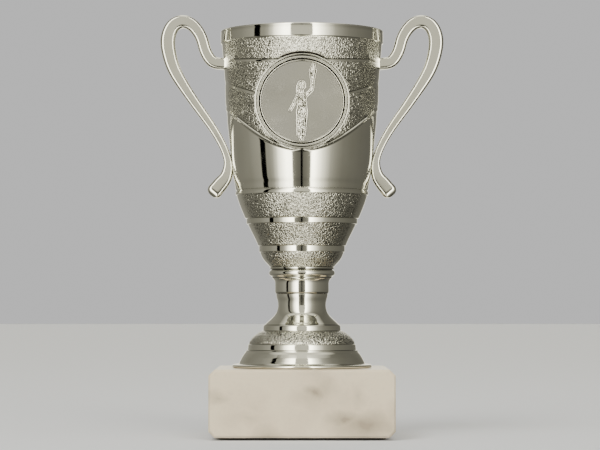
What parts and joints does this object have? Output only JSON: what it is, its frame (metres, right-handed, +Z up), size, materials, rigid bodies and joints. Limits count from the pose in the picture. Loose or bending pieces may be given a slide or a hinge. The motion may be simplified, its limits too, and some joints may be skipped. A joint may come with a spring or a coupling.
{
  "type": "cup trophy",
  "caption": "Two-handled cup trophy with a round emblem on the bowl, a turned foot and a square marble base.",
  "frame": {"origin": "on the surface that the trophy stands on, under the middle of its base", "axes": "+Z up along the rod, -Y towards the viewer of the emblem, +X to that viewer's right, through the handles"},
  "size_m": [0.0866, 0.055, 0.1284],
  "materials": {
    "felt": "short-napped black felt",
    "marble": "honed warm white marble with soft grey smudges",
    "silver_plate": "warm silver vacuum plating on a plastic moulding, polished with fine-grained bands",
    "adhesive_foam": "white double-sided foam tape",
    "satin_metal": "satin silver with a raised relief",
    "zinc_steel": "bright zinc plate"
  },
  "bodies": {
    "root": {"felt_pad": "felt", "marble_base": "marble", "pedestal_foot": "silver_plate", "stem_collar": "silver_plate", "cup_bowl": "silver_plate", "handle_left": "silver_plate", "handle_right": "silver_plate", "emblem_holder": "silver_plate", "emblem_adhesive": "adhesive_foam", "emblem_disc": "satin_metal", "tie_rod": "zinc_steel", "top_nut": "zinc_steel", "top_washer": "zinc_steel", "bottom_nut": "zinc_steel", "bottom_washer": "zinc_steel", "bottom_lock_washer": "zinc_steel"}
  },
  "joints": []
}
